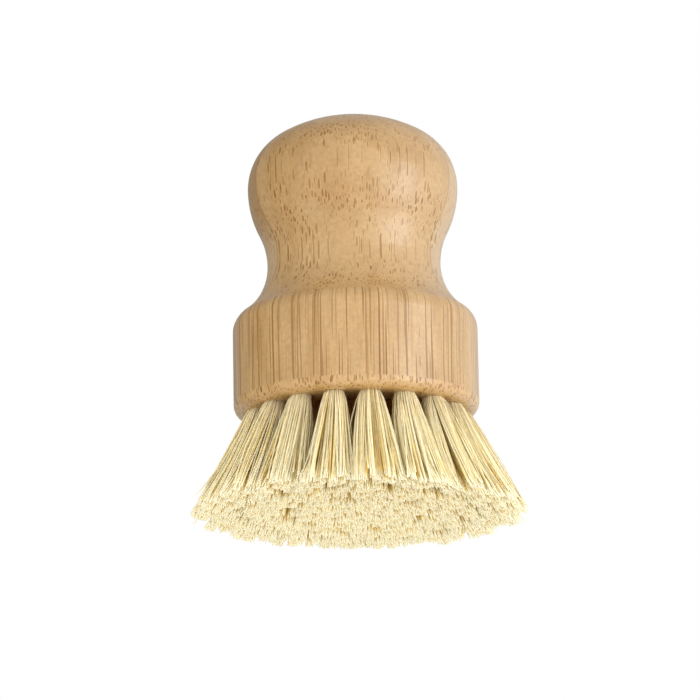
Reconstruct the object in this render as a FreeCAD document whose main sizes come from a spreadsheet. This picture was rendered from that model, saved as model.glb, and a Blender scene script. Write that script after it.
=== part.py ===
"""Palm dish brush: a turned bamboo block that carries splayed tufts of plant fibre.

Millimetres, +Z up through the knob. The origin lies on the table, under the middle of the bristle tips,
and the drilled face of the block is one bristle height above it. -Y is the front.
Every body is drawn in the frame of the drilled face: local Z is zero there, and positive into the bamboo.
"""
import FreeCAD, Part
import math
import os

import Sketcher

Vector = FreeCAD.Vector

# Driving dimensions: name, value and what it measures, in millimetres and degrees.
DIMENSIONS = (
    ("head_diameter", 54.0, "round head across its straight side"),
    ("head_edge_round", 2.6, "rounding between the drilled face and the side"),
    ("shoulder_height", 22.3, "drilled face up to the edge where the hollow of the neck starts"),
    ("shoulder_inset", 1.5, "how far that edge lies inside the side of the head"),
    ("shoulder_round", 4.6, "rounding from the side of the head up to that edge"),
    ("neck_rise", 11.8, "shoulder edge up to the narrowest place of the neck"),
    ("waist_depth", 4.15, "how far the neck is cut in from the widest place of the knob"),
    ("knob_diameter", 46.6, "knob at its widest place"),
    ("knob_rise", 17.6, "narrowest place of the neck up to the widest place of the knob"),
    ("crown_rise", 16.1, "widest place of the knob up to its top"),
    ("neck_hollow_share", 0.435, "share of the rise from neck to knob that is hollow; the rest swells"),
    ("knob_round_share", 0.83, "radius of the upper knob as a share of its rise"),
    ("rim_margin", 5.0, "side of the head to the middle of the outer holes"),
    ("hole_diameter", 4.4, "hole for one tuft"),
    ("hole_depth", 8.0, "full-diameter depth of a hole, along its own axis"),
    ("drill_point_angle", 118.0, "angle of the cone that the drill leaves at the bottom"),
    ("splay_height", 50.0, "drilled face up to the point where the axes of all the holes meet"),
    ("ring_step_count", 6, "tufts that each ring has more than the ring inside it"),
    ("inner_ring_turn", 47.5, "azimuth of the first tuft of the inner ring"),
    ("middle_ring_turn", 2.5, "azimuth of the first tuft of the middle ring"),
    ("outer_ring_turn", 17.5, "azimuth of the first tuft of the outer ring"),
    ("bristle_height", 23.0, "bristle tips up to the drilled face"),
    ("tuft_clearance", 0.05, "gap between a bundle and the wall of its hole"),
    ("tuft_tip_gap", 0.3, "gap between the ends of neighbouring tufts"),
    ("flare_bulge", 0.6, "how far the side of a tuft bows out from a straight flare"),
    ("fold_round", 1.2, "rounding of the folded end of a bundle"),
    ("trim_flat_diameter", 60.0, "middle of the bristle tips that is cut flat"),
    ("trim_round", 20.0, "radius of the rounding from there out to the rim of the tips"),
    ("anchor_thickness", 0.4, "flat wire that holds a tuft, across its flat"),
    ("anchor_width", 2.0, "flat wire along the hole"),
    ("anchor_bite", 0.5, "how far each end of the wire bites into the wall of the hole"),
    ("anchor_cover", 1.3, "fibre between the wire and the folded end of the bundle"),
    ("cut_overrun", 1.0, "how far a cut runs past the face that it starts from"),
)

# Rings of tufts round the centre tuft, counted outwards.
RINGS = ("inner", "middle", "outer")

# Indices by which a sketch names the points of an edge, and its own two axes.
START_INDEX, END_INDEX, CENTRE_INDEX = 1, 2, 3
HORIZONTAL_AXIS_INDEX, VERTICAL_AXIS_INDEX = -1, -2
ORIGIN = (HORIZONTAL_AXIS_INDEX, START_INDEX)

ROOT_RADIUS = "(dims.hole_diameter / 2 - dims.tuft_clearance)"
HOLE_PITCH = f"((dims.head_diameter / 2 - dims.rim_margin) / {len(RINGS)})"
TIP_SPREAD = "(1 + dims.bristle_height / dims.splay_height)"


def ring_number(ring):
    """Place of a ring, counted outwards from the centre tuft."""
    return RINGS.index(ring) + 1


def ring_radius(ring):
    """Distance from the brush axis to the middle of a ring's hole mouths."""
    return f"({ring_number(ring)} * {HOLE_PITCH})" if ring else "0"


def ring_count(ring):
    """Number of tufts in a ring."""
    return f"({ring_number(ring)} * dims.ring_step_count)"


def lean(ring):
    """Angle between the tufts of a ring and the brush axis."""
    return f"atan({ring_radius(ring)} / dims.splay_height)"


def tip_radius(ring):
    """Radius of a tuft at its trimmed end, square to its axis."""
    return f"(({HOLE_PITCH} * {TIP_SPREAD} - dims.tuft_tip_gap) / 2 * cos({lean(ring)}))"


def free_length(ring):
    """Length of a tuft along its axis, from the mouth of its hole to the level of the tips."""
    return f"(dims.bristle_height / cos({lean(ring)}))"


def mouth_drop(ring):
    """How far below the middle of a slanting hole's mouth its lowest edge lies, along the hole."""
    return f"(dims.hole_diameter / 2 * tan({lean(ring)}))"


def hole_frame(ring, turn):
    """Sketch frame of a hole: origin in the mouth, Y along the hole into the block, turned about the axis."""
    turned = f"placement(vector(0; 0; 0); rotation(vector(0; 1; 0); {turn}))"
    leaning = f"placement(vector({ring_radius(ring)}; 0; 0); rotation(vector(0; 0; 1); {lean(ring)}))"
    return f"{turned} * {leaning}"


def make_sheet(doc):
    """Sheet of the driving dimensions, one alias each."""
    sheet = doc.addObject("Spreadsheet::Sheet", "dims")
    for row, (name, value, meaning) in enumerate(DIMENSIONS, start=1):
        sheet.set(f"A{row}", meaning)
        sheet.set(f"B{row}", str(value))
        sheet.setAlias(f"B{row}", name)
    doc.recompute()


def add_body(doc, label, turn="0"):
    """Body that stands at the level of the drilled face, turned about the brush axis."""
    body = doc.addObject("PartDesign::Body", label)
    body.Label = label
    stand = "vector(0; 0; dims.bristle_height)"
    body.setExpression("Placement", f"placement({stand}; rotation(vector(0; 0; 1); {turn}))")
    return body


def origin_feature(body, role):
    """Plane or axis of the body's own origin."""
    return next(feature for feature in body.Origin.OriginFeatures if feature.Role == role)


def add_sketch(body, name, frame=None):
    """Sketch on the upright plane through the brush axis: X outwards, Y up."""
    sketch = body.newObject("Sketcher::SketchObject", name)
    sketch.AttachmentSupport = [(origin_feature(body, "XZ_Plane"), "")]
    sketch.MapMode = "FlatFace"
    if frame:
        sketch.setExpression("AttachmentOffset", frame)
    return sketch


def size_of(sketch, expression):
    """Present value of an expression of the sheet."""
    return float(sketch.evalExpression(expression))


def drive(sketch, name, kind, places, expression):
    """Dimension of the sketch that follows an expression of the sheet."""
    constraint = Sketcher.Constraint(kind, *places, size_of(sketch, expression))
    index = sketch.addConstraint(constraint)
    sketch.renameConstraint(index, name)
    sketch.setExpression(f"Constraints.{name}", expression)


def fix_coordinate(sketch, name, kind, point, expression, zero_axis):
    """Hold one coordinate of a sketch point: on the axis where it is zero, else at a driven distance."""
    value = size_of(sketch, expression)
    if value == 0:
        sketch.addConstraint(Sketcher.Constraint("PointOnObject", *point, zero_axis))
    elif value > 0:
        drive(sketch, name, kind, ORIGIN + point, expression)
    else:
        drive(sketch, name, kind, point + ORIGIN, f"-({expression})")


def fix_point(sketch, name, point, across, along):
    """Hold a sketch point at expressions for its place across and along."""
    fix_coordinate(sketch, f"{name}_across", "DistanceX", point, across, VERTICAL_AXIS_INDEX)
    fix_coordinate(sketch, f"{name}_along", "DistanceY", point, along, HORIZONTAL_AXIS_INDEX)


def draw_outline(sketch, corners):
    """Closed outline of straight lines through corners given as expressions: name, across, along."""
    points = [Vector(size_of(sketch, across), size_of(sketch, along)) for _, across, along in corners]
    following = points[1:] + points[:1]
    for start, end in zip(points, following):
        sketch.addGeometry(Part.LineSegment(start, end), False)
    for index, (name, across, along) in enumerate(corners):
        before = (index - 1) % len(corners)
        sketch.addConstraint(Sketcher.Constraint("Coincident", before, END_INDEX, index, START_INDEX))
        fix_point(sketch, name, (index, START_INDEX), across, along)


def add_line(sketch, start, end):
    """Straight line of an outline. Returns its index."""
    return sketch.addGeometry(Part.LineSegment(Vector(*start), Vector(*end)), False)


def add_arc(sketch, centre, radius, start_angle, end_angle):
    """Arc of an outline, counted anticlockwise, with angles in radians. Returns its index."""
    circle = Part.Circle(Vector(*centre), Vector(0, 0, 1), radius)
    return sketch.addGeometry(Part.ArcOfCircle(circle, start_angle, end_angle), False)


def join(sketch, kind, first, second):
    """Bring the ends of two edges together, tangent or only coincident."""
    sketch.addConstraint(Sketcher.Constraint(kind, *first, *second))


def level(sketch, first, second):
    """Hold two sketch points at the same height."""
    sketch.addConstraint(Sketcher.Constraint("Horizontal", *first, *second))


def revolve(body, kind, name, sketch):
    """Full turn of a sketch about its own upright axis."""
    feature = body.newObject(kind, name)
    feature.Profile = sketch
    feature.ReferenceAxis = (sketch, ["V_Axis"])
    feature.Angle = 360
    body.Document.recompute()
    return feature


def extrude(body, kind, name, sketch, length):
    """Extrusion of a sketch to both sides of its plane."""
    feature = body.newObject(kind, name)
    feature.Profile = sketch
    feature.SideType = "Symmetric"
    feature.setExpression("Length", length)
    body.Document.recompute()
    return feature


def repeat_round(body, name, features, count):
    """Even repeat of features round the brush axis."""
    pattern = body.newObject("PartDesign::PolarPattern", name)
    pattern.Originals = features
    pattern.Axis = (origin_feature(body, "Z_Axis"), [""])
    pattern.Angle = 360
    pattern.setExpression("Occurrences", count)
    body.Tip = pattern
    body.Document.recompute()


def check_cut(feature, volume_before):
    """Stop where a cut has removed nothing."""
    if not feature.Shape.Volume < volume_before:
        raise RuntimeError(f"{feature.Label} cuts nothing")


def block_layout(sketch):
    """Places and radii of the turned profile that follow from the driving dimensions."""
    size = {name: size_of(sketch, f"dims.{name}") for name, _, _ in DIMENSIONS}
    side = size["head_diameter"] / 2
    knob = size["knob_diameter"] / 2
    shoulder = (side - size["shoulder_inset"], size["shoulder_height"])
    neck = (knob - size["waist_depth"], shoulder[1] + size["neck_rise"])
    widest = (knob, neck[1] + size["knob_rise"])
    top = (0, widest[1] + size["crown_rise"])
    shoulder_sweep = math.acos(1 - size["shoulder_inset"] / size["shoulder_round"])
    flare = shoulder[0] - neck[0]
    flare_radius = (size["neck_rise"] ** 2 + flare ** 2) / (2 * flare)
    bend_radii = (size["knob_rise"] ** 2 + size["waist_depth"] ** 2) / (2 * size["waist_depth"])
    hollow_radius = bend_radii * size["neck_hollow_share"]
    round_radius = size["crown_rise"] * size["knob_round_share"]
    crown_square = knob ** 2 + size["crown_rise"] ** 2 - 2 * knob * round_radius
    crown_radius = crown_square / (2 * (size["crown_rise"] - round_radius))
    return {
        "side": side,
        "edge_round": size["head_edge_round"],
        "shoulder": shoulder,
        "shoulder_round": size["shoulder_round"],
        "shoulder_sweep": shoulder_sweep,
        "side_top": shoulder[1] - size["shoulder_round"] * math.sin(shoulder_sweep),
        "neck": neck,
        "widest": widest,
        "top": top,
        "flare_radius": flare_radius,
        "flare_sweep": math.asin(size["neck_rise"] / flare_radius),
        "hollow_radius": hollow_radius,
        "swell_radius": bend_radii - hollow_radius,
        "bend_sweep": math.asin(size["knob_rise"] / bend_radii),
        "round_radius": round_radius,
        "crown_radius": crown_radius,
        "crown_sweep": math.acos((knob - round_radius) / (crown_radius - round_radius)),
    }


def draw_block_profile(sketch):
    """Half outline of the block: drilled face, side, shoulder, hollow neck, knob and crown."""
    at = block_layout(sketch)
    quarter = math.pi / 2
    half = math.pi
    edge_centre = (at["side"] - at["edge_round"], at["edge_round"])
    shoulder_centre = (at["side"] - at["shoulder_round"], at["side_top"])
    flare_centre = (at["neck"][0] + at["flare_radius"], at["neck"][1])
    hollow_centre = (at["neck"][0] + at["hollow_radius"], at["neck"][1])
    swell_centre = (at["widest"][0] - at["swell_radius"], at["widest"][1])
    round_centre = (at["widest"][0] - at["round_radius"], at["widest"][1])
    crown_centre = (0, at["top"][1] - at["crown_radius"])

    face = add_line(sketch, (0, 0), (edge_centre[0], 0))
    edge = add_arc(sketch, edge_centre, at["edge_round"], -quarter, 0)
    side = add_line(sketch, (at["side"], at["edge_round"]), (at["side"], at["side_top"]))
    shoulder = add_arc(sketch, shoulder_centre, at["shoulder_round"], 0, at["shoulder_sweep"])
    flare = add_arc(sketch, flare_centre, at["flare_radius"], half, half + at["flare_sweep"])
    hollow = add_arc(sketch, hollow_centre, at["hollow_radius"], half - at["bend_sweep"], half)
    swell = add_arc(sketch, swell_centre, at["swell_radius"], -at["bend_sweep"], 0)
    knob = add_arc(sketch, round_centre, at["round_radius"], 0, at["crown_sweep"])
    crown = add_arc(sketch, crown_centre, at["crown_radius"], at["crown_sweep"], quarter)
    axis = add_line(sketch, at["top"], (0, 0))

    join(sketch, "Coincident", (axis, END_INDEX), (face, START_INDEX))
    join(sketch, "Tangent", (face, END_INDEX), (edge, START_INDEX))
    join(sketch, "Tangent", (edge, END_INDEX), (side, START_INDEX))
    join(sketch, "Tangent", (side, END_INDEX), (shoulder, START_INDEX))
    join(sketch, "Coincident", (shoulder, END_INDEX), (flare, END_INDEX))
    join(sketch, "Tangent", (flare, START_INDEX), (hollow, END_INDEX))
    join(sketch, "Tangent", (hollow, START_INDEX), (swell, START_INDEX))
    join(sketch, "Tangent", (swell, END_INDEX), (knob, START_INDEX))
    join(sketch, "Tangent", (knob, END_INDEX), (crown, START_INDEX))
    join(sketch, "Coincident", (crown, END_INDEX), (axis, START_INDEX))
    join(sketch, "Coincident", (face, START_INDEX), ORIGIN)
    sketch.addConstraint(Sketcher.Constraint("Horizontal", face))
    sketch.addConstraint(Sketcher.Constraint("Vertical", side))
    sketch.addConstraint(Sketcher.Constraint("PointOnObject", crown, CENTRE_INDEX, VERTICAL_AXIS_INDEX))
    sketch.addConstraint(Sketcher.Constraint("PointOnObject", crown, END_INDEX, VERTICAL_AXIS_INDEX))
    level(sketch, (flare, CENTRE_INDEX), (flare, START_INDEX))
    level(sketch, (swell, CENTRE_INDEX), (swell, END_INDEX))

    neck_height = "dims.shoulder_height + dims.neck_rise"
    widest_height = f"{neck_height} + dims.knob_rise"
    bend_radii = "((dims.knob_rise ^ 2 + dims.waist_depth ^ 2) / (2 * dims.waist_depth))"
    drive(sketch, "edge_radius", "Radius", (edge,), "dims.head_edge_round")
    drive(sketch, "side_across", "DistanceX", ORIGIN + (side, START_INDEX), "dims.head_diameter / 2")
    drive(sketch, "shoulder_radius", "Radius", (shoulder,), "dims.shoulder_round")
    shoulder_across = "dims.head_diameter / 2 - dims.shoulder_inset"
    fix_point(sketch, "shoulder", (shoulder, END_INDEX), shoulder_across, "dims.shoulder_height")
    neck_across = "dims.knob_diameter / 2 - dims.waist_depth"
    fix_point(sketch, "neck", (flare, START_INDEX), neck_across, neck_height)
    drive(sketch, "hollow_radius", "Radius", (hollow,), f"{bend_radii} * dims.neck_hollow_share")
    drive(sketch, "widest_across", "DistanceX", ORIGIN + (swell, END_INDEX), "dims.knob_diameter / 2")
    drive(sketch, "knob_radius", "Radius", (knob,), "dims.crown_rise * dims.knob_round_share")
    top_height = f"{widest_height} + dims.crown_rise"
    drive(sketch, "top_along", "DistanceY", ORIGIN + (crown, END_INDEX), top_height)
    drive(sketch, "widest_along", "DistanceY", ORIGIN + (swell, END_INDEX), widest_height)


def draw_hole(sketch, ring):
    """Half section of a drilled hole with its pointed bottom, about the sketch's upright axis."""
    radius = "dims.hole_diameter / 2"
    outside = f"-({mouth_drop(ring)} + dims.cut_overrun)"
    point_depth = f"dims.hole_depth + {radius} / tan(dims.drill_point_angle / 2 * 1 deg)"
    draw_outline(sketch, (
        ("mouth_axis", "0", outside),
        ("mouth_wall", radius, outside),
        ("bottom_wall", radius, "dims.hole_depth"),
        ("bottom_point", "0", point_depth),
    ))


def draw_anchor(sketch):
    """Section of the flat wire across a hole, near the bottom, with its width along the hole."""
    half = "dims.anchor_thickness / 2"
    deep = "dims.hole_depth - dims.anchor_cover"
    shallow = f"{deep} - dims.anchor_width"
    draw_outline(sketch, (
        ("shallow_in", f"-{half}", shallow),
        ("shallow_out", half, shallow),
        ("deep_out", half, deep),
        ("deep_in", f"-{half}", deep),
    ))


ANCHOR_LENGTH = "dims.hole_diameter + 2 * dims.anchor_bite"


def draw_tuft(sketch, ring):
    """Half section of a bundle: folded end, shank in the hole, bowed flare and untrimmed end."""
    root = size_of(sketch, ROOT_RADIUS)
    tip = size_of(sketch, tip_radius(ring))
    length = size_of(sketch, free_length(ring))
    drop = size_of(sketch, mouth_drop(ring))
    depth = size_of(sketch, "dims.hole_depth")
    fold = size_of(sketch, "dims.fold_round")
    untrimmed = f"({free_length(ring)} + {tip_radius(ring)})"
    end = size_of(sketch, untrimmed)
    flare_length = f"({free_length(ring)} - {mouth_drop(ring)})"
    chord_square = f"({flare_length} ^ 2 + ({tip_radius(ring)} - {ROOT_RADIUS}) ^ 2)"
    bow_radius = f"({chord_square} / 4 + dims.flare_bulge ^ 2) / (2 * dims.flare_bulge)"

    bow = size_of(sketch, bow_radius)
    chord_angle = math.atan2(length - drop, root - tip)
    half_sweep = math.asin(math.hypot(length - drop, tip - root) / (2 * bow))
    to_middle = chord_angle - math.pi / 2
    middle = ((root + tip) / 2, -(length + drop) / 2)
    reach = bow * math.cos(half_sweep)
    bow_centre = (middle[0] - reach * math.cos(to_middle), middle[1] - reach * math.sin(to_middle))

    folded = add_line(sketch, (0, depth), (root - fold, depth))
    corner = add_arc(sketch, (root - fold, depth - fold), fold, 0, math.pi / 2)
    shank = add_line(sketch, (root, depth - fold), (root, -drop))
    flare = add_arc(sketch, bow_centre, bow, to_middle - half_sweep, to_middle + half_sweep)
    spare = add_line(sketch, (tip, -length), (tip, -end))
    bottom = add_line(sketch, (tip, -end), (0, -end))
    axis = add_line(sketch, (0, -end), (0, depth))

    join(sketch, "Coincident", (axis, END_INDEX), (folded, START_INDEX))
    join(sketch, "Tangent", (folded, END_INDEX), (corner, END_INDEX))
    join(sketch, "Tangent", (corner, START_INDEX), (shank, START_INDEX))
    join(sketch, "Coincident", (shank, END_INDEX), (flare, END_INDEX))
    join(sketch, "Coincident", (flare, START_INDEX), (spare, START_INDEX))
    join(sketch, "Coincident", (spare, END_INDEX), (bottom, START_INDEX))
    join(sketch, "Coincident", (bottom, END_INDEX), (axis, START_INDEX))
    sketch.addConstraint(Sketcher.Constraint("Horizontal", folded))
    drive(sketch, "fold_radius", "Radius", (corner,), "dims.fold_round")
    drive(sketch, "bow_radius", "Radius", (flare,), bow_radius)
    fix_point(sketch, "fold", (axis, END_INDEX), "0", "dims.hole_depth")
    fix_point(sketch, "root", (shank, END_INDEX), ROOT_RADIUS, f"-{mouth_drop(ring)}")
    sketch.addConstraint(Sketcher.Constraint("Vertical", shank))
    fix_point(sketch, "tip", (flare, START_INDEX), tip_radius(ring), f"-{free_length(ring)}")
    fix_point(sketch, "spare", (spare, END_INDEX), tip_radius(ring), f"-{untrimmed}")
    fix_point(sketch, "bottom", (bottom, END_INDEX), "0", f"-{untrimmed}")


def draw_trim(sketch):
    """Half section of what the trimming takes off: flat in the middle, rounded up towards the rim."""
    flat = size_of(sketch, "dims.trim_flat_diameter / 2")
    level_of_tips = size_of(sketch, "-dims.bristle_height")
    radius = size_of(sketch, "dims.trim_round")
    waste = f"(dims.bristle_height + {HOLE_PITCH} * {TIP_SPREAD})"
    floor = -size_of(sketch, waste)

    middle = add_line(sketch, (0, level_of_tips), (flat, level_of_tips))
    rim = add_arc(sketch, (flat, level_of_tips + radius), radius, -math.pi / 2, 0)
    outside = add_line(sketch, (flat + radius, level_of_tips + radius), (flat + radius, floor))
    bottom = add_line(sketch, (flat + radius, floor), (0, floor))
    axis = add_line(sketch, (0, floor), (0, level_of_tips))

    join(sketch, "Coincident", (axis, END_INDEX), (middle, START_INDEX))
    join(sketch, "Tangent", (middle, END_INDEX), (rim, START_INDEX))
    join(sketch, "Tangent", (rim, END_INDEX), (outside, START_INDEX))
    join(sketch, "Coincident", (outside, END_INDEX), (bottom, START_INDEX))
    join(sketch, "Coincident", (bottom, END_INDEX), (axis, START_INDEX))
    sketch.addConstraint(Sketcher.Constraint("Horizontal", middle))
    sketch.addConstraint(Sketcher.Constraint("Vertical", outside))
    sketch.addConstraint(Sketcher.Constraint("Horizontal", bottom))
    drive(sketch, "rim_radius", "Radius", (rim,), "dims.trim_round")
    fix_point(sketch, "middle", (axis, END_INDEX), "0", "-dims.bristle_height")
    drive(sketch, "flat_across", "DistanceX", ORIGIN + (middle, END_INDEX), "dims.trim_flat_diameter / 2")
    fix_point(sketch, "floor", (bottom, END_INDEX), "0", f"-{waste}")


def drill_holes(body, ring):
    """Holes of one ring, or the centre hole, with the slots that the wires' ends press into the wall."""
    frame = hole_frame(ring, f"dims.{ring}_ring_turn") if ring else None
    name = ring or "centre"
    volume = body.Shape.Volume
    hole = add_sketch(body, f"{name}_hole_profile", frame)
    draw_hole(hole, ring)
    drilled = revolve(body, "PartDesign::Groove", f"{name}_hole", hole)
    check_cut(drilled, volume)
    section = add_sketch(body, f"{name}_bite_section", frame)
    draw_anchor(section)
    bitten = extrude(body, "PartDesign::Pocket", f"{name}_bites", section, ANCHOR_LENGTH)
    check_cut(bitten, drilled.Shape.Volume)
    if ring:
        repeat_round(body, f"{name}_ring", [drilled, bitten], ring_count(ring))


def make_block(doc):
    """Turned bamboo block with its rings of splayed blind holes."""
    body = add_body(doc, "bamboo_block")
    profile = add_sketch(body, "turned_profile")
    draw_block_profile(profile)
    revolve(body, "PartDesign::Revolution", "turned", profile)
    for ring in (None, *RINGS):
        drill_holes(body, ring)
    return body


def make_tuft(doc, label, ring, turn):
    """One bundle of fibres, folded over its wire and trimmed with the rest."""
    body = add_body(doc, label, turn)
    frame = hole_frame(ring, "0") if ring else None
    profile = add_sketch(body, f"{label}_profile", frame)
    draw_tuft(profile, ring)
    bundle = revolve(body, "PartDesign::Revolution", f"{label}_bundle", profile)
    section = add_sketch(body, f"{label}_wire_section", frame)
    draw_anchor(section)
    folded = extrude(body, "PartDesign::Pocket", f"{label}_fold", section, ANCHOR_LENGTH)
    check_cut(folded, bundle.Shape.Volume)
    trim = add_sketch(body, f"{label}_trim_profile")
    draw_trim(trim)
    trimmed = revolve(body, "PartDesign::Groove", f"{label}_trimmed", trim)
    check_cut(trimmed, folded.Shape.Volume)
    return body


def repeat_tuft(doc, label, first, turn):
    """Copy of the first tuft of a ring, turned to its own hole."""
    body = add_body(doc, label, turn)
    copy = body.newObject("PartDesign::FeatureBase", f"{label}_copy")
    copy.BaseFeature = first.Tip
    copy.setExpression("Placement", f"{first.Tip.Name}.Placement")
    body.Tip = copy
    return body


def make_ring_tufts(doc, ring):
    """All tufts of one ring."""
    tufts = []
    count = ring_number(ring) * int(doc.dims.get("ring_step_count"))
    for index in range(count):
        label = f"tuft_{ring}_{index + 1:02d}"
        turn = f"dims.{ring}_ring_turn + {index} * 360 / {ring_count(ring)}"
        if index == 0:
            tufts.append(make_tuft(doc, label, ring, turn))
        else:
            tufts.append(repeat_tuft(doc, label, tufts[0], turn))
    return tufts


def make_anchors(doc, label, ring):
    """Flat wires of one ring, or of the centre tuft, lying across the bottoms of their holes."""
    body = add_body(doc, label, f"dims.{ring}_ring_turn" if ring else "0")
    section = add_sketch(body, f"{label}_section", hole_frame(ring, "0") if ring else None)
    draw_anchor(section)
    wire = extrude(body, "PartDesign::Pad", f"{label}_wire", section, ANCHOR_LENGTH)
    if ring:
        repeat_round(body, f"{label}_ring", [wire], ring_count(ring))
    return body


def check_document(doc, bodies):
    """Stop where an object has failed or a sub-part has no valid shape."""
    for item in doc.Objects:
        if "Invalid" in item.State or "Error" in item.State:
            raise RuntimeError(f"{item.Label} failed: {item.State}")
    for body in bodies:
        if body.Shape.isNull() or not body.Shape.isValid():
            raise RuntimeError(f"{body.Label} has no valid shape")


def write_parts(bodies):
    """One file for each sub-part, named by its label."""
    os.makedirs("parts", exist_ok=True)
    for body in bodies:
        body.Shape.exportStep(os.path.join("parts", f"{body.Label}.step"))
        print(body.Label, len(body.Shape.Solids), round(body.Shape.Volume, 1))


doc = FreeCAD.newDocument("palm_dish_brush")
make_sheet(doc)
bodies = [make_block(doc), make_tuft(doc, "tuft_center", None, "0"), make_anchors(doc, "anchor_center", None)]
for ring in RINGS:
    bodies += make_ring_tufts(doc, ring)
    bodies.append(make_anchors(doc, f"anchors_{ring}", ring))
doc.recompute()
check_document(doc, bodies)
write_parts(bodies)
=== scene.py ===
"""Palm dish brush: finishes, fibres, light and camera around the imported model, in metres."""

import math
from types import SimpleNamespace

import bpy
import numpy as np
from mathutils import Matrix, Vector


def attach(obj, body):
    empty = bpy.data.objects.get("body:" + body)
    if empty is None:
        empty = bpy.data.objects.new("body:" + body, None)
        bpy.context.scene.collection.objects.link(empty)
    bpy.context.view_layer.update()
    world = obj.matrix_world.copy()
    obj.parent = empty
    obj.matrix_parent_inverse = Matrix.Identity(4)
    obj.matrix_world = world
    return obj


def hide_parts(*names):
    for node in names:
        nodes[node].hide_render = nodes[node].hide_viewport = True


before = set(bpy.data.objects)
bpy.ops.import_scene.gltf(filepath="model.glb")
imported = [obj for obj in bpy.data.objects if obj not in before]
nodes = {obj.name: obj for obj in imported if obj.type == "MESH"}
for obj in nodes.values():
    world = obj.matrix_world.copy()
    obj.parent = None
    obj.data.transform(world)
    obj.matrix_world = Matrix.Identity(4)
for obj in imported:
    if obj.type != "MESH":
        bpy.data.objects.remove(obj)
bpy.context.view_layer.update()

MM = 0.001
WHITE = (1.0, 1.0, 1.0, 1.0)

# Levels and radii of the turned block, and of the rings of tufts in its face.
FACE_LEVEL = 23.0 * MM
HEAD_EDGE_LEVEL = 25.6 * MM
SHOULDER_LEVEL = 45.3 * MM
HEAD_RADIUS = 27.0 * MM
SPLAY_POINT = np.array((0.0, 0.0, 73.0 * MM))
OUTER_RING_RADIUS = 22.0 * MM
RING_STEP = 7.3 * MM
CENTRE_REACH = 1.0 * MM

# Cut of the bristles: flat in the middle, rounded up towards the rim, and a little shorter on the left.
TRIM_FLAT_RADIUS = 30.0 * MM
TRIM_ROUND = 120.0 * MM
TRIM_STEEPEST_SHARE = 0.99
TRIM_LEAN = 0.02
TRIM_STEPS = 4

# Uneven ends: domed on each tuft, and short by fibre, by lock and by tuft. Locks at the front vary most.
TRIM_DOME = 0.05 * MM
DOME_REACH_SHARE = 1.3
TRIM_SHORT = 2.1 * MM
LOCK_SHORT = 0.5 * MM
TUFT_SHORT = 0.05 * MM
FRONT_RAGGED_SHARE = 2.2

# One bundle of fibres, folded over its wire.
FOLDED_FIBRES = 260
FIBRE_SIDES = 5
FIBRE_RADIUS = 0.095 * MM
FIBRE_RADIUS_SPREAD = 0.02 * MM
FIBRE_THINNEST_SHARE = 0.5
FIBRE_THICKEST_SHARE = 1.5
FIBRE_TIP_SHARE = 1.7
BUNDLE_RADIUS = 2.07 * MM
RIM_CROWDING_SHARE = 0.44
GOLDEN_SHARE = 0.61803398875
WIRE_CLEARANCE = 0.4 * MM
WIRE_DEPTH = 6.0 * MM
FOLD_DEPTH = 6.9 * MM
FOLD_SPREAD = 0.9 * MM
OTHER_SIDE = np.array((-1.0, 1.0))

# How the fibres of a bundle spread between the mouth of the hole and their ends.
OUTSIDE_SHARES = (0.0, 0.08, 0.3, 0.6, 0.88, 1.0)
TIP_RADIUS = 5.9 * MM
TIP_OUTWARD_SHARE = 0.82
TIP_INWARD_SHARE = 0.9
FRONT_STEEP_SHARE = 0.7
TIP_JITTER = 0.5 * MM
MOUTH_FLARE = 0.35 * MM
FLARE_SHARE = 0.08
HOLLOW = 0.5 * MM
BEND = 0.3 * MM
LOCK_BEND = 0.35 * MM
LOCK_COUNT = 16
LOCK_PULL_SHARE = 0.55
LEAST_PULL_SHARE = 0.3
STRAY_SHARE = 0.025
STRAY_REACH_SHARE = 0.6
LEAST_STRAY_SHARE = 0.3

# Tone of the fibres: 1 is pale and 0 is golden. It differs at random, and is lowered as painted golden
# shade deep in each bundle, on flanks that face inwards and on the inner rings.
TONE_SPREAD = 0.3
FACING_SHADE = 0.35
INNER_RING_SHADE = 0.4

# Camera of the main view: it looks up at the brush from below the level of the bristle tips.
VIEW_ELEVATION = math.radians(-14.5)
VIEW_ROLL = math.radians(1.04)
VIEW_DISTANCE = 980.0 * MM
VIEW_AIM = Vector((-1.22 * MM, 0.0, 37.9 * MM))
NEAREST_SEEN = 10.0 * MM
LENS_MM = 228.7
SENSOR_MM = 36.0

# Stage.
FLOOR_LEVEL = -0.4 * MM
FLOOR_RADIUS = 3.0
FLOOR_SIDES = 96
FLOOR_FADE = (0.25, 0.9)
FLOOR_COLOUR = (0.86, 0.86, 0.85, 1.0)
LIGHT_HEADING = (0.5, -0.24, -0.2)
LIGHT_LEVEL = 0.8
LIGHT_LEAST = 0.1
LIGHT_AIM = Vector((0.0, 0.0, SHOULDER_LEVEL))

# Softboxes: name, place, width, power in watts, and whether the lacquer's sheen shows it.
SOFTBOXES = (
    ("key_softbox", (0.76, -0.5, 0.0), 0.65, 4.2, True),
    ("side_softbox", (0.85, -0.35, 0.05), 0.6, 0.6, False),
    ("front_softbox", (-0.78, -0.58, 0.65), 0.8, 5.8, False),
    ("low_softbox", (-0.6, -0.5, -0.58), 0.6, 3.8, False),
)


# Shader node helpers.

# Range that a cloudy value mostly keeps to.
CLOUDY = (0.3, 0.7)


def add_node(tree, kind, inputs=None, **settings):
    """Node of a shader tree, with its settings, and its inputs linked to sockets or set to values."""
    node = tree.nodes.new(kind)
    for name, value in settings.items():
        setattr(node, name, value)
    for key, value in (inputs or {}).items():
        if isinstance(value, bpy.types.NodeSocket):
            tree.links.new(value, node.inputs[key])
        else:
            node.inputs[key].default_value = value
    return node


def calc(tree, operation, first, second=0.0, third=0.0):
    """Result of one arithmetic step."""
    inputs = {0: first, 1: second, 2: third}
    return add_node(tree, "ShaderNodeMath", inputs, operation=operation).outputs[0]


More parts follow.
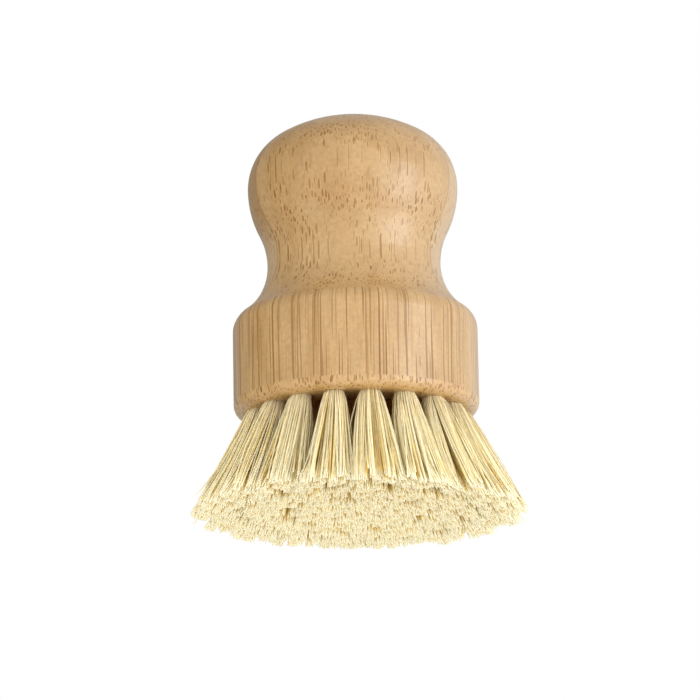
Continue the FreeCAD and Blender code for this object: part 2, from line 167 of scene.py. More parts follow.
def ramp(tree, value, low, high, out_low=0.0, out_high=1.0, smooth=True):
    """Value mapped from one range to another and held at its ends."""
    inputs = {"Value": value, "From Min": low, "From Max": high, "To Min": out_low, "To Max": out_high}
    kind = "SMOOTHSTEP" if smooth else "LINEAR"
    return add_node(tree, "ShaderNodeMapRange", inputs, interpolation_type=kind).outputs["Result"]


def blend(tree, share, first, second, mode="MIX"):
    """Mix of two colours."""
    inputs = {0: share, 6: first, 7: second}
    return add_node(tree, "ShaderNodeMix", inputs, data_type="RGBA", blend_type=mode).outputs[2]


def point(tree, across, depth, height):
    """Vector of three coordinates."""
    return add_node(tree, "ShaderNodeCombineXYZ", {0: across, 1: depth, 2: height}).outputs[0]


def shaded(tree, colour, level):
    """Colour made lighter or darker by a level."""
    return blend(tree, 1.0, colour, point(tree, level, level, level), "MULTIPLY")


def noise(tree, place, scale, detail):
    """Cloudy value between 0 and 1 at a place."""
    inputs = {"Vector": place, "Scale": scale, "Detail": detail}
    return add_node(tree, "ShaderNodeTexNoise", inputs).outputs["Fac"]


def chance(tree, place):
    """Even random value for a whole-numbered place."""
    node = add_node(tree, "ShaderNodeTexWhiteNoise", {"Vector": place}, noise_dimensions="3D")
    return node.outputs["Value"]


def object_place(tree):
    """Place on the surface, in the object's own frame."""
    return add_node(tree, "ShaderNodeTexCoord").outputs["Object"]


def new_material(name):
    """Material with a Principled shader. Returns the material, its tree and that shader."""
    material = bpy.data.materials.new(name)
    material.use_nodes = True
    tree = material.node_tree
    tree.nodes.clear()
    shader = add_node(tree, "ShaderNodeBsdfPrincipled")
    add_node(tree, "ShaderNodeOutputMaterial", {"Surface": shader.outputs[0]})
    return material, tree, shader


# Bamboo.

BAMBOO_PALE = (0.440, 0.271, 0.109, 1.0)
BAMBOO_WARM = (0.365, 0.205, 0.064, 1.0)
BAMBOO_ROSY = (0.430, 0.290, 0.140, 1.0)
# Dark brown of painted shade on the left of the knob.
BAMBOO_LEFT_SHADE = (0.310, 0.175, 0.055, 1.0)
BAMBOO_VEIN = (0.20, 0.082, 0.003, 1.0)

# Boards of the blank, front to back, with seams. The middle one is rosy, with painted shade that turns it
# brown high on the left.
BOARD_THICKNESS = 18.0 * MM
BOARD_START = -27.4 * MM
MIDDLE_BOARD = 1.0
SAME_BOARD_REACH = 0.1
SEAM_WIDTH = 0.35 * MM
SEAM_SHARE = 0.5
ROSY_SHARE = 0.85
LEFT_SHADE_RISE = (58.0 * MM, 68.0 * MM)
LEFT_SHADE_SIDE = (-4.0 * MM, -16.0 * MM)

# Strips side by side, each of layers that lean to the back as they rise, less so on the head.
STRIP_WIDTH = 15.6 * MM
LAYER_THICKNESS = 5.1 * MM
LAYER_START = -24.85 * MM
LAYER_LEAN = 0.06
HEAD_LEAN = 0.016
LEAN_FROM = 36.0 * MM

# Vascular bundles. Sizes, edges, shifts and the sway's reach are in cells of the vein pattern.
# HEAD_SHIFT moves the pattern sideways on the head, and LAYER_SHIFT moves it in depth from layer to layer.
VEIN_SPACING = 0.7 * MM
VEIN_DEPTH_SPACING = 1.0 * MM
VEIN_SIZES = (0.17, 0.38)
VEIN_EDGE = (-0.03, 0.04)
VEIN_LEAST_STRENGTH = 0.6
VEIN_SHARE = 0.95
SHEATH_EDGE = (-0.28, -0.03)
SHEATH_LIGHT = 0.1
HEAD_SHIFT = 20.0
LAYER_SHIFT = 7.3
SWAY_SCALE = 60.0
SWAY_REACH = 0.6
BACK_OF_LAYER = (0.6, 0.8)
MISSING_SHARES = (0.4, 0.9)
BUNCH_SCALE = 130.0
BUNCH_CLOUDY = (0.35, 0.65)
BUNCH_SHARES = (0.35, -0.35)
HEAD_MISSING_SHARE = 0.2

# Fine pores between the bundles. Sizes, edges and the shift are in cells of their own pattern.
SPECK_SPACING = 0.42 * MM
SPECK_DEPTH_SPACING = 0.8 * MM
SPECK_SHIFT = 31.7
SPECK_CHANCES = (0.3, 1.0)
SPECK_SIZES = (0.0, 0.26)
SPECK_EDGE = (-0.05, 0.07)
SPECK_SHARE = 0.6

# Ground colour: clouds, layer tone, a neck painted paler as painted sheen, a warmer knob, grain, mottle and
# a rounded lower edge painted lighter as painted light.
CLOUD_SCALE = 190.0
CLOUD_STRETCH_SHARE = 0.5
LAYER_TONE_SHARE = 0.15
WARM_SPAN = (0.35, 0.85)
NECK_RISE = (45.0 * MM, 51.0 * MM)
NECK_FALL = (66.0 * MM, 57.0 * MM)
NECK_PAINTED_SHEEN = -0.12
# Painted sheen: the neck is drawn paler, for the white surround that its upward-facing hollow reflects.
KNOB_RISE = (58.0 * MM, 70.0 * MM)
KNOB_WARMTH = 0.08
GRAIN_SCALE = 400.0
GRAIN_SQUEEZE = 9.0
GRAIN_STRETCH_SHARE = 0.9
GRAIN_LEVELS = (0.95, 1.03)
MOTTLE_SCALE = 1200.0
MOTTLE_LEVELS = (0.9, 1.09)
# Painted light: the rounded lower edge of the head is lighter, as if lit from below.
LOWER_EDGE_FADE = 0.5 * MM
LOWER_EDGE_PAINTED_LIGHT = 0.13

# Lacquer and relief.
BAMBOO_ROUGHNESS = (0.4, 0.5)
VEIN_ROUGHNESS = 0.15
GRAIN_RELIEF_SHARE = 0.25
RELIEF_DEPTH = 0.1 * MM
RELIEF_SHARE = 0.2
BAMBOO_SPECULAR = 0.5
LACQUER_WEIGHT = 0.8
LACQUER_ROUGHNESS = 0.33


def wood_place(tree):
    """Where a point of the block lies: in space, in plan, and among the layers of the blank."""
    place = object_place(tree)
    x, y, z = add_node(tree, "ShaderNodeSeparateXYZ", {0: place}).outputs
    below = calc(tree, "LESS_THAN", z, SHOULDER_LEVEL)
    on_head = calc(tree, "MULTIPLY", calc(tree, "GREATER_THAN", z, HEAD_EDGE_LEVEL), below)

    # On the head the veins run straight up over the rounded shoulder, as on its straight side.
    radius = calc(tree, "SQRT", calc(tree, "MULTIPLY_ADD", x, x, calc(tree, "MULTIPLY", y, y)))
    outwards = calc(tree, "SUBTRACT", calc(tree, "DIVIDE", HEAD_RADIUS, radius), 1.0)
    swell = calc(tree, "MULTIPLY_ADD", on_head, outwards, 1.0)
    across = calc(tree, "MULTIPLY", x, swell)
    upright = calc(tree, "MULTIPLY", y, swell)

    slant = calc(tree, "MULTIPLY_ADD", on_head, LAYER_LEAN - HEAD_LEAN, -LAYER_LEAN)
    lean = calc(tree, "MULTIPLY", calc(tree, "SUBTRACT", z, LEAN_FROM), slant)
    depth = calc(tree, "ADD", upright, lean)
    layers = calc(tree, "MULTIPLY", calc(tree, "SUBTRACT", depth, LAYER_START), 1.0 / LAYER_THICKNESS)
    layer = calc(tree, "FLOOR", layers)
    within = calc(tree, "SUBTRACT", layers, layer)
    return SimpleNamespace(
        place=place, x=x, y=y, z=z, below=below, on_head=on_head, across=across, upright=upright,
        depth=depth, layer=layer, within=within,
    )


def vein_cells(tree, across, depth, shift):
    """Upright threads in plan: distance from the nearest thread, and three random values for it."""
    place = point(tree, calc(tree, "ADD", across, shift), depth, 0.0)
    inputs = {"Vector": place, "Scale": 1.0}
    cells = add_node(tree, "ShaderNodeTexVoronoi", inputs, voronoi_dimensions="2D")
    chances = add_node(tree, "ShaderNodeSeparateColor", {0: cells.outputs["Color"]}).outputs
    return cells.outputs["Distance"], chances


def vein_threads(tree, wood):
    """Vascular bundles: dark upright threads, fewer at the back of each layer, and a sheath round each."""
    sway = noise(tree, point(tree, 0.0, wood.layer, wood.z), SWAY_SCALE, 0.0)
    shift = calc(tree, "MULTIPLY_ADD", wood.on_head, HEAD_SHIFT, calc(tree, "MULTIPLY", sway, SWAY_REACH))
    vein_x = calc(tree, "MULTIPLY_ADD", wood.across, 1.0 / VEIN_SPACING, shift)
    layer_shift = calc(tree, "MULTIPLY", wood.layer, LAYER_SHIFT)
    vein_y = calc(tree, "MULTIPLY_ADD", wood.depth, 1.0 / VEIN_DEPTH_SPACING, layer_shift)
    distance, chances = vein_cells(tree, vein_x, vein_y, 0.0)
    size = ramp(tree, chances[0], 0.0, 1.0, *VEIN_SIZES, smooth=False)
    nearness = calc(tree, "SUBTRACT", size, distance)

    fewer = ramp(tree, wood.within, *BACK_OF_LAYER, *MISSING_SHARES)
    bunched = ramp(tree, noise(tree, wood.place, BUNCH_SCALE, 1.0), *BUNCH_CLOUDY, *BUNCH_SHARES)
    head_share = ramp(tree, wood.below, 0.0, 1.0, 1.0, HEAD_MISSING_SHARE, smooth=False)
    missing = calc(tree, "MULTIPLY", calc(tree, "ADD", fewer, bunched), head_share)
    present = calc(tree, "GREATER_THAN", chances[1], missing)

    boldness = calc(tree, "MULTIPLY", chances[2], chances[2])
    strength = calc(tree, "MULTIPLY_ADD", boldness, 1.0 - VEIN_LEAST_STRENGTH, VEIN_LEAST_STRENGTH)
    spot = calc(tree, "MULTIPLY", ramp(tree, nearness, *VEIN_EDGE), present)
    thread = calc(tree, "MULTIPLY", spot, strength)
    sheath = calc(tree, "MULTIPLY", ramp(tree, nearness, *SHEATH_EDGE), present)
    return thread, sheath


def wood_pores(tree, wood):
    """Fine dark specks between the vascular bundles."""
    speck_x = calc(tree, "MULTIPLY", wood.across, 1.0 / SPECK_SPACING)
    speck_y = calc(tree, "MULTIPLY", wood.depth, 1.0 / SPECK_DEPTH_SPACING)
    distance, chances = vein_cells(tree, speck_x, speck_y, SPECK_SHIFT)
    size = ramp(tree, chances[0], *SPECK_CHANCES, *SPECK_SIZES, smooth=False)
    return ramp(tree, calc(tree, "SUBTRACT", size, distance), *SPECK_EDGE, 0.0, SPECK_SHARE)


def wood_grain(tree, wood):
    """Fine upright fibre of the wood, as a cloudy value."""
    place = point(
        tree,
        calc(tree, "MULTIPLY", wood.across, GRAIN_SQUEEZE),
        calc(tree, "MULTIPLY", wood.depth, GRAIN_SQUEEZE),
        calc(tree, "MULTIPLY", wood.z, GRAIN_STRETCH_SHARE),
    )
    return noise(tree, place, GRAIN_SCALE, 3.0)


def board_colour(tree, wood):
    """Ground colour: soft clouds, a rosy middle board with brown painted shade high on the left, and fine
    seams.
    """
    strip = calc(tree, "FLOOR", calc(tree, "MULTIPLY_ADD", wood.across, 1.0 / STRIP_WIDTH, 0.5))
    tone = chance(tree, point(tree, strip, wood.layer, 1.0))
    cloud_z = calc(tree, "MULTIPLY", wood.z, CLOUD_STRETCH_SHARE)
    cloud = noise(tree, point(tree, wood.x, wood.y, cloud_z), CLOUD_SCALE, 4.0)
    layer_tone = calc(tree, "MULTIPLY", tone, LAYER_TONE_SHARE)
    patchy = calc(tree, "MULTIPLY_ADD", cloud, 1.0 - LAYER_TONE_SHARE, layer_tone)
    knob_warm = calc(tree, "MULTIPLY_ADD", ramp(tree, wood.z, *KNOB_RISE), KNOB_WARMTH, patchy)
    # Painted sheen: the neck is drawn towards the paler colour.
    on_neck = calc(tree, "MULTIPLY", ramp(tree, wood.z, *NECK_RISE), ramp(tree, wood.z, *NECK_FALL))
    warmth = calc(tree, "MULTIPLY_ADD", on_neck, NECK_PAINTED_SHEEN, knob_warm)
    plain = blend(tree, ramp(tree, warmth, *WARM_SPAN), BAMBOO_PALE, BAMBOO_WARM)

    from_front = calc(tree, "SUBTRACT", wood.upright, BOARD_START)
    boards = calc(tree, "MULTIPLY", from_front, 1.0 / BOARD_THICKNESS)
    middle = calc(tree, "COMPARE", calc(tree, "FLOOR", boards), MIDDLE_BOARD, SAME_BOARD_REACH)
    rosy = blend(tree, calc(tree, "MULTIPLY", middle, ROSY_SHARE), plain, BAMBOO_ROSY)
    # Painted shade: the middle board turns brown high on the left.
    high_left_shade = calc(tree, "MULTIPLY", ramp(tree, wood.z, *LEFT_SHADE_RISE), ramp(tree, wood.x, *LEFT_SHADE_SIDE))
    left_shaded = blend(tree, calc(tree, "MULTIPLY", middle, high_left_shade), rosy, BAMBOO_LEFT_SHADE)
    seam_gap = calc(tree, "MULTIPLY", calc(tree, "PINGPONG", boards, 0.5), BOARD_THICKNESS)
    seam = ramp(tree, seam_gap, SEAM_WIDTH, 0.0, 0.0, SEAM_SHARE)
    return blend(tree, seam, left_shaded, BAMBOO_VEIN)


def bamboo_material():
    """Glued strips of bamboo with upright vascular bundles, under a satin lacquer."""
    material, tree, shader = new_material("bamboo")
    wood = wood_place(tree)
    thread, sheath = vein_threads(tree, wood)
    vein = calc(tree, "MAXIMUM", thread, wood_pores(tree, wood))
    grain = wood_grain(tree, wood)

    # The sheath round each thread is a little lighter, and the rounded lower edge of the head is painted
    # lighter: painted light that it catches from below.
    mottle = ramp(tree, noise(tree, wood.place, MOTTLE_SCALE, 3.0), *CLOUDY, *MOTTLE_LEVELS, smooth=False)
    fine = calc(tree, "MULTIPLY", ramp(tree, grain, *CLOUDY, *GRAIN_LEVELS, smooth=False), mottle)
    # Painted light on the rounded lower edge of the head.
    lower_edge_span = (HEAD_EDGE_LEVEL + LOWER_EDGE_FADE, HEAD_EDGE_LEVEL - LOWER_EDGE_FADE)
    painted_edge_light = ramp(tree, wood.z, *lower_edge_span, 0.0, LOWER_EDGE_PAINTED_LIGHT)
    level = calc(tree, "MULTIPLY_ADD", sheath, SHEATH_LIGHT, calc(tree, "ADD", fine, painted_edge_light))
    ground = shaded(tree, board_colour(tree, wood), level)
    colour = blend(tree, calc(tree, "MULTIPLY", vein, VEIN_SHARE), ground, BAMBOO_VEIN)
    tree.links.new(colour, shader.inputs["Base Color"])

    rough = calc(tree, "MULTIPLY_ADD", vein, VEIN_ROUGHNESS, ramp(tree, grain, *CLOUDY, *BAMBOO_ROUGHNESS))
    tree.links.new(rough, shader.inputs["Roughness"])
    relief = calc(tree, "MULTIPLY_ADD", vein, -1.0, calc(tree, "MULTIPLY", grain, GRAIN_RELIEF_SHARE))
    inputs = {"Height": relief, "Strength": RELIEF_SHARE, "Distance": RELIEF_DEPTH}
    tree.links.new(add_node(tree, "ShaderNodeBump", inputs).outputs[0], shader.inputs["Normal"])
    shader.inputs["Specular IOR Level"].default_value = BAMBOO_SPECULAR
    shader.inputs["Coat Weight"].default_value = LACQUER_WEIGHT
    shader.inputs["Coat Roughness"].default_value = LACQUER_ROUGHNESS
    return material


# Fibres.

FIBRE_CREAM = (0.84, 0.715, 0.385, 1.0)
# The golden colour below stands for painted shade between fibres and between tufts.
FIBRE_GOLDEN_SHADE = (0.88, 0.65, 0.22, 1.0)
FIBRE_PALE = (0.86, 0.78, 0.535, 1.0)
FIBRE_TIP = (0.88, 0.815, 0.59, 1.0)
# Dark brown painted shade at the roots, where shade falls between the tufts and under the block.
FIBRE_ROOT_SHADE = (0.36, 0.13, 0.03, 1.0)

# Tones and places along a fibre between which its colour changes, and how far it changes.
PALE_TONES = (0.5, 1.0)
GOLDEN_SHADE_TONES = (0.55, 0.2)
FIBRE_MOTTLE_SCALE = 900.0
FIBRE_MOTTLE_LEVELS = (0.92, 1.04)
BLEACHED_END = (0.92, 1.0)
BLEACHED_SHARE = 0.85
ROOT_SHADE_SPAN = (0.45, 0.1)
ROOT_SHADE_SHARES = (0.14, 1.0)

# Sheen, and light that passes through the fibre.
FIBRE_ROUGHNESS = 0.5
FIBRE_SPECULAR = 0.05
FIBRE_GLOW_SHARE = 0.2
FIBRE_GLOW_RADII = (1.0, 0.8, 0.5)
FIBRE_GLOW_REACH = 0.08 * MM


def fibre_material():
    """Pale plant fibre: golden painted shade inside each bundle and between tufts, paler at the ends, dark
    brown painted shade at roots deep in the brush.
    """
    material, tree, shader = new_material("plant_fibre")
    tone, along, inner = (
        add_node(tree, "ShaderNodeAttribute", attribute_name=name).outputs["Fac"]
        for name in ("tone", "along", "inner")
    )
    body = blend(tree, ramp(tree, tone, *PALE_TONES), FIBRE_CREAM, FIBRE_PALE)
    # Low tones turn golden: painted shade between fibres and between tufts.
    golden_shaded = blend(tree, ramp(tree, tone, *GOLDEN_SHADE_TONES), body, FIBRE_GOLDEN_SHADE)
    cloud = noise(tree, object_place(tree), FIBRE_MOTTLE_SCALE, 2.0)
    mottled = shaded(tree, golden_shaded, ramp(tree, cloud, *CLOUDY, *FIBRE_MOTTLE_LEVELS))
    bleached = blend(tree, ramp(tree, along, *BLEACHED_END, 0.0, BLEACHED_SHARE), mottled, FIBRE_TIP)
    # Painted shade near the roots: a little on the outer ring, most on the inner rings.
    brown = ramp(tree, inner, 0.0, 1.0, *ROOT_SHADE_SHARES, smooth=False)
    root_shade_share = calc(tree, "MULTIPLY", brown, ramp(tree, along, *ROOT_SHADE_SPAN))
    colour = blend(tree, root_shade_share, bleached, FIBRE_ROOT_SHADE)
    tree.links.new(colour, shader.inputs["Base Color"])
    shader.inputs["Roughness"].default_value = FIBRE_ROUGHNESS
    shader.inputs["Specular IOR Level"].default_value = FIBRE_SPECULAR
    shader.inputs["Subsurface Weight"].default_value = FIBRE_GLOW_SHARE
    shader.inputs["Subsurface Radius"].default_value = FIBRE_GLOW_RADII
    shader.inputs["Subsurface Scale"].default_value = FIBRE_GLOW_REACH
    return material


def tuft_axis(node):
    """Middle of the tuft's hole mouth and the direction its fibres leave it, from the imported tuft."""
    places = np.array([vertex.co for vertex in node.data.vertices])
    shank = places[places[:, 2] > FACE_LEVEL + BUNDLE_RADIUS].mean(axis=0)
    direction = shank - SPLAY_POINT
    direction /= np.linalg.norm(direction)
    mouth = SPLAY_POINT + direction * (FACE_LEVEL - SPLAY_POINT[2]) / direction[2]
    return mouth, direction


def trim_level(places):
    """Level at which the ends of fibres at these places are cut."""
    beyond = np.hypot(places[:, 0], places[:, 1]) - TRIM_FLAT_RADIUS
    beyond = np.clip(beyond, 0.0, TRIM_STEEPEST_SHARE * TRIM_ROUND)
    lean = TRIM_LEAN * np.maximum(-places[:, 0], 0.0)
    return TRIM_ROUND - np.sqrt(TRIM_ROUND ** 2 - beyond ** 2) + lean


def half_disc(count):
    """Spots over the half of a unit disc that has a positive first coordinate, closer towards its rim."""
    index = np.arange(count)
    reach = ((index + 0.5) / count) ** RIM_CROWDING_SHARE
    angle = math.pi * ((index * GOLDEN_SHARE) % 1.0 - 0.5)
    return np.column_stack((reach * np.cos(angle), reach * np.sin(angle)))


def flank_directions():
    """Unit directions from the middle of a fibre to its flanks."""
    angle = np.arange(FIBRE_SIDES) * 2.0 * math.pi / FIBRE_SIDES
    return np.column_stack((np.cos(angle), np.sin(angle)))


def spread_tips(roots, rng):
    """Where the fibres' ends lie across the bundle, drawn into locks, and the lock of each fibre."""
    count = len(roots)
    tips = roots * TIP_RADIUS / BUNDLE_RADIUS + rng.normal(0.0, TIP_JITTER, (count, 2))
    lock_reach = TIP_RADIUS * np.sqrt(rng.uniform(0.0, 1.0, LOCK_COUNT))
    lock_angle = rng.uniform(0.0, 2.0 * math.pi, LOCK_COUNT)
    locks = np.column_stack((lock_reach * np.cos(lock_angle), lock_reach * np.sin(lock_angle)))
    nearest = np.argmin(np.linalg.norm(tips[:, None] - locks[None], axis=2), axis=1)
    tips += (locks[nearest] - tips) * LOCK_PULL_SHARE * rng.uniform(LEAST_PULL_SHARE, 1.0, (count, 1))
    astray = rng.uniform(0.0, 1.0, count) < STRAY_SHARE
    stray_reach = rng.uniform(LEAST_STRAY_SHARE, 1.0, (int(astray.sum()), 1))
    tips[astray] *= 1.0 + STRAY_REACH_SHARE * stray_reach
    return tips, nearest


def outside_paths(roots, mouth, direction, sides, short, rng):
    """Points of each fibre from the mouth of the hole to its cut end: stations, fibres, xyz."""
    count = len(roots)
    front = np.clip(-mouth[1] / OUTER_RING_RADIUS, 0.0, 1.0) ** 2
    tips, lock = spread_tips(roots, rng)
    lock_out = TIP_OUTWARD_SHARE - FRONT_STEEP_SHARE * front * rng.uniform(0.0, 1.0, LOCK_COUNT)
    tips[:, 0] *= np.where(tips[:, 0] > 0.0, lock_out[lock], TIP_INWARD_SHARE)
    lock_short = rng.uniform(0.0, LOCK_SHORT, LOCK_COUNT) * (1.0 + FRONT_RAGGED_SHARE * front)
    outward = roots / BUNDLE_RADIUS
    bends = rng.normal(0.0, BEND, (count, 2)) + rng.normal(0.0, LOCK_BEND, (LOCK_COUNT, 2))[lock]
    end_offset = tips @ sides
    dome = TRIM_DOME * np.clip(np.linalg.norm(tips, axis=1) / TIP_RADIUS, 0.0, DOME_REACH_SHARE) ** 2
    cut = dome + short + lock_short[lock] + TRIM_SHORT * rng.uniform(0.0, 1.0, count) ** 2
    length = np.full(count, -mouth[2] / direction[2])
    for _ in range(TRIM_STEPS):
        ends = mouth + direction * length[:, None] + end_offset
        length += (trim_level(ends) + cut - ends[:, 2]) / direction[2]
    stations = []
    for share in OUTSIDE_SHARES:
        arch = 4.0 * share * (1.0 - share)
        flare = MOUTH_FLARE * min(share / FLARE_SHARE, 1.0) * (1.0 - share)
        offset = roots * (1.0 - share) + tips * share + outward * flare + bends * arch
        offset[:, 0] -= HOLLOW * arch
        stations.append(mouth + direction * (length * share)[:, None] + offset @ sides)
    return np.array(stations)


def bundle_sides(mouth, direction):
    """Two directions across the bundle: away from the axis of the brush, and along its ring."""
    central = np.hypot(*mouth[:2]) <= CENTRE_REACH
    radial = np.array((1.0, 0.0, 0.0) if central else (mouth[0], mouth[1], 0.0))
    radial -= direction * (radial @ direction)
    radial /= np.linalg.norm(radial)
    return np.array((radial, np.cross(direction, radial)))


def folded_paths(mouth, direction, sides, rng):
    """Centre lines of fibres from cut end over the wire to cut end, and how far out each station is."""
    near = half_disc(FOLDED_FIBRES) * BUNDLE_RADIUS
    short = rng.uniform(0.0, TUFT_SHORT)
    arms = [
        outside_paths(roots, mouth, direction, sides, short, rng)
        for roots in (near, near * OTHER_SIDE)
    ]
    beside = near.copy()
    beside[:, 0] = WIRE_CLEARANCE + near[:, 0] * (1.0 - WIRE_CLEARANCE / BUNDLE_RADIUS)
    over = near * np.array((0.0, 1.0))
    turn_depth = FOLD_DEPTH + FOLD_SPREAD * near[:, 0] / BUNDLE_RADIUS
    wire_level = mouth - direction * WIRE_DEPTH
    inside = np.array((
        wire_level + beside @ sides,
        mouth - direction * turn_depth[:, None] + over @ sides,
        wire_level + (beside * OTHER_SIDE) @ sides,
    ))
    along = (*reversed(OUTSIDE_SHARES), *[0.0] * len(inside), *OUTSIDE_SHARES)
    return np.concatenate((arms[0][::-1], inside, arms[1])), np.array(along)


def tube_faces(stations, count):
    """Side faces and end faces of tubes whose points are ordered by station, fibre and side."""
    station, fibre, side = np.meshgrid(
        np.arange(stations - 1), np.arange(count), np.arange(FIBRE_SIDES), indexing="ij"
    )
    following = (side + 1) % FIBRE_SIDES
    row = (station * count + fibre) * FIBRE_SIDES
    above = row + count * FIBRE_SIDES
    quads = np.stack((row + side, row + following, above + following, above + side), axis=-1).reshape(-1, 4)
    first = np.arange(count)[:, None] * FIBRE_SIDES + np.arange(FIBRE_SIDES)[::-1]
    last = (stations - 1) * count * FIBRE_SIDES + first[:, ::-1]
    return quads.tolist() + first.tolist() + last.tolist()


def fibre_tones(stations, inner, rng):
    """Tone at each point of the fibres, with painted shade: paler on the bundle's rim and on flanks that
    face outwards, golden deeper in, on inward flanks and on the inner rings.
    """
    spots = half_disc(FOLDED_FIBRES)
    rim = np.linalg.norm(spots, axis=1)
    # Paler at the rim and golden deeper in, as painted shade, with a random spread.
    tone = np.clip(rim ** 2 + TONE_SPREAD * rng.uniform(-1.0, 1.0, FOLDED_FIBRES), 0.0, 1.0)
    away = spots / rim[:, None]
    outward = np.array((1.0, 0.0))
    flanks = flank_directions().T
    near = 0.5 * (away + outward) @ flanks
    far = 0.5 * (away * OTHER_SIDE + outward) @ flanks
    facing = np.where(np.arange(stations)[:, None, None] < stations // 2, near[None], far[None])
    # Painted shade: tone lowered on flanks that face inwards and on the inner rings.
    golden = FACING_SHADE * 0.5 * (1.0 - facing) + INNER_RING_SHADE * inner
    return np.clip(tone[None, :, None] - golden, 0.0, 1.0)


def tuft_mesh(name, mouth, direction, rng):
    """Mesh of one bundle, with the values that its material reads at each point."""
    sides = bundle_sides(mouth, direction)
    paths, along = folded_paths(mouth, direction, sides, rng)
    stations, count = paths.shape[:2]
    thick = rng.normal(FIBRE_RADIUS, FIBRE_RADIUS_SPREAD, count)
    thick = np.clip(thick, FIBRE_THINNEST_SHARE * FIBRE_RADIUS, FIBRE_THICKEST_SHARE * FIBRE_RADIUS)
    taper = 1.0 + (FIBRE_TIP_SHARE - 1.0) * along
    radius = taper[:, None] * thick[None]
    ring = flank_directions() @ sides
    vertices = paths[:, :, None] + radius[:, :, None, None] * ring[None, None]
    mesh = bpy.data.meshes.new(name)
    mesh.from_pydata(vertices.reshape(-1, 3), [], tube_faces(stations, count))
    mesh.shade_smooth()
    inner = np.clip((OUTER_RING_RADIUS - np.hypot(*mouth[:2])) / RING_STEP, 0.0, 1.0)
    shape = (stations, count, FIBRE_SIDES)
    fields = {
        "tone": fibre_tones(stations, inner, rng),
        "along": np.broadcast_to(along[:, None, None], shape),
        "inner": np.full(shape, inner),
    }
    for label, values in fields.items():
        attribute = mesh.attributes.new(label, "FLOAT", "POINT")
        attribute.data.foreach_set("value", values.astype(np.float32).ravel())
    return mesh


def make_tuft(name, node, material, rng):
    """Bundle of folded fibres that stands for one packed tuft."""
    mesh = tuft_mesh(name, *tuft_axis(node), rng)
    mesh.materials.append(material)
    tuft = bpy.data.objects.new(name, mesh)
    bpy.context.scene.collection.objects.link(tuft)
    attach(tuft, "root")
    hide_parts(node.name)


# Anchors.

SCRATCH_SCALE = 3000.0
WIRE_GREYS = (0.42, 0.58)
WIRE_ROUGHNESS = (0.25, 0.45)


def wire_material():
    """Drawn flat steel wire."""
    material, tree, shader = new_material("anchor_wire")
    scratch = noise(tree, object_place(tree), SCRATCH_SCALE, 3.0)
    grey = ramp(tree, scratch, *CLOUDY, *WIRE_GREYS)
    tree.links.new(point(tree, grey, grey, grey), shader.inputs["Base Color"])
    tree.links.new(ramp(tree, scratch, *CLOUDY, *WIRE_ROUGHNESS), shader.inputs["Roughness"])
    shader.inputs["Metallic"].default_value = 1.0
    return material


# Stage, light and camera.

def floor_material():
    """Pale floor that fades into the white surround, and is open from below."""
    material = bpy.data.materials.new("floor")
    material.use_nodes = True
    tree = material.node_tree
    tree.nodes.clear()
    underside = add_node(tree, "ShaderNodeNewGeometry").outputs["Backfacing"]
    length = add_node(tree, "ShaderNodeVectorMath", {0: object_place(tree)}, operation="LENGTH")
    fade = ramp(tree, length.outputs["Value"], *FLOOR_FADE)
    paint = add_node(tree, "ShaderNodeBsdfDiffuse", {"Color": FLOOR_COLOUR}).outputs[0]
    glow = add_node(tree, "ShaderNodeEmission", {"Color": WHITE}).outputs[0]
    faded = add_node(tree, "ShaderNodeMixShader", {0: fade, 1: paint, 2: glow}).outputs[0]
    clear = add_node(tree, "ShaderNodeBsdfTransparent").outputs[0]
    surface = add_node(tree, "ShaderNodeMixShader", {0: underside, 1: faded, 2: clear}).outputs[0]
    add_node(tree, "ShaderNodeOutputMaterial", {"Surface": surface})
    return material


def make_floor():
    """Round pale floor under the bristle tips."""
    angles = [2.0 * math.pi * index / FLOOR_SIDES for index in range(FLOOR_SIDES)]
    rim = [(FLOOR_RADIUS * math.cos(angle), FLOOR_RADIUS * math.sin(angle), 0.0) for angle in angles]
    mesh = bpy.data.meshes.new("floor")
    mesh.from_pydata(rim, [], [list(range(FLOOR_SIDES))])
    mesh.materials.append(floor_material())
    floor = bpy.data.objects.new("floor", mesh)
    floor.location.z = FLOOR_LEVEL
    bpy.context.scene.collection.objects.link(floor)
    floor.visible_diffuse = False
    floor.visible_glossy = False
    floor.visible_shadow = False


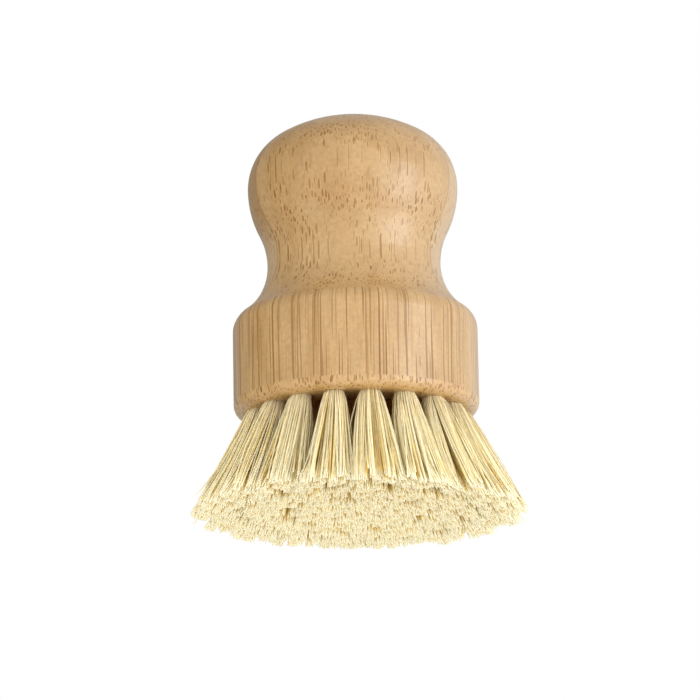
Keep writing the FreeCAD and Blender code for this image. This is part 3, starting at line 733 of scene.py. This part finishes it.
def make_world():
    """White surround that throws more light from the right, from the front and from below."""
    world = bpy.data.worlds.new("studio")
    world.use_nodes = True
    tree = world.node_tree
    tree.nodes.clear()
    seen = add_node(tree, "ShaderNodeLightPath").outputs["Is Camera Ray"]
    heading = add_node(tree, "ShaderNodeTexCoord").outputs["Generated"]
    inputs = {0: heading, 1: LIGHT_HEADING}
    sideways = add_node(tree, "ShaderNodeVectorMath", inputs, operation="DOT_PRODUCT").outputs["Value"]
    thrown = calc(tree, "MAXIMUM", calc(tree, "ADD", sideways, LIGHT_LEVEL), LIGHT_LEAST)
    strength = calc(tree, "MAXIMUM", seen, thrown)
    surround = add_node(tree, "ShaderNodeBackground", {"Color": WHITE, "Strength": strength})
    add_node(tree, "ShaderNodeOutputWorld", {"Surface": surround.outputs[0]})
    bpy.context.scene.world = world


def add_softbox(name, place, size, power, mirrored):
    """Square soft light that faces the middle of the brush, and may be kept out of the lacquer's sheen."""
    light = bpy.data.lights.new(name, "AREA")
    light.shape = "SQUARE"
    light.size = size
    light.energy = power
    box = bpy.data.objects.new(name, light)
    box.location = place
    box.rotation_euler = (LIGHT_AIM - Vector(place)).to_track_quat("-Z", "Y").to_euler()
    box.visible_glossy = mirrored
    bpy.context.scene.collection.objects.link(box)


def make_camera():
    """Camera of the main view."""
    data = bpy.data.cameras.new("camera")
    data.sensor_width = SENSOR_MM
    data.lens = LENS_MM
    data.clip_start = NEAREST_SEEN
    camera = bpy.data.objects.new("camera", data)
    back = Vector((0.0, -math.cos(VIEW_ELEVATION), math.sin(VIEW_ELEVATION)))
    turn = (-back).to_track_quat("-Z", "Y").to_matrix() @ Matrix.Rotation(-VIEW_ROLL, 3, "Z")
    camera.matrix_world = Matrix.Translation(VIEW_AIM + back * VIEW_DISTANCE) @ turn.to_4x4()
    bpy.context.scene.collection.objects.link(camera)
    bpy.context.scene.camera = camera


def dress(node, material):
    """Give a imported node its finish."""
    node.data.materials.clear()
    node.data.materials.append(material)


bamboo = bamboo_material()
fibre = fibre_material()
wire = wire_material()
dress(nodes["bamboo_block"], bamboo)
tuft_names = sorted(name for name in nodes if name.startswith("tuft_"))
for index, node_name in enumerate(tuft_names):
    tuft_rng = np.random.default_rng(index)
    make_tuft(node_name.replace("tuft", "fibres"), nodes[node_name], fibre, tuft_rng)
for node_name in sorted(nodes):
    if node_name.startswith("anchor"):
        dress(nodes[node_name], wire)

make_floor()
make_world()
for softbox in SOFTBOXES:
    add_softbox(*softbox)
make_camera()
bpy.context.scene.view_settings.view_transform = "Standard"
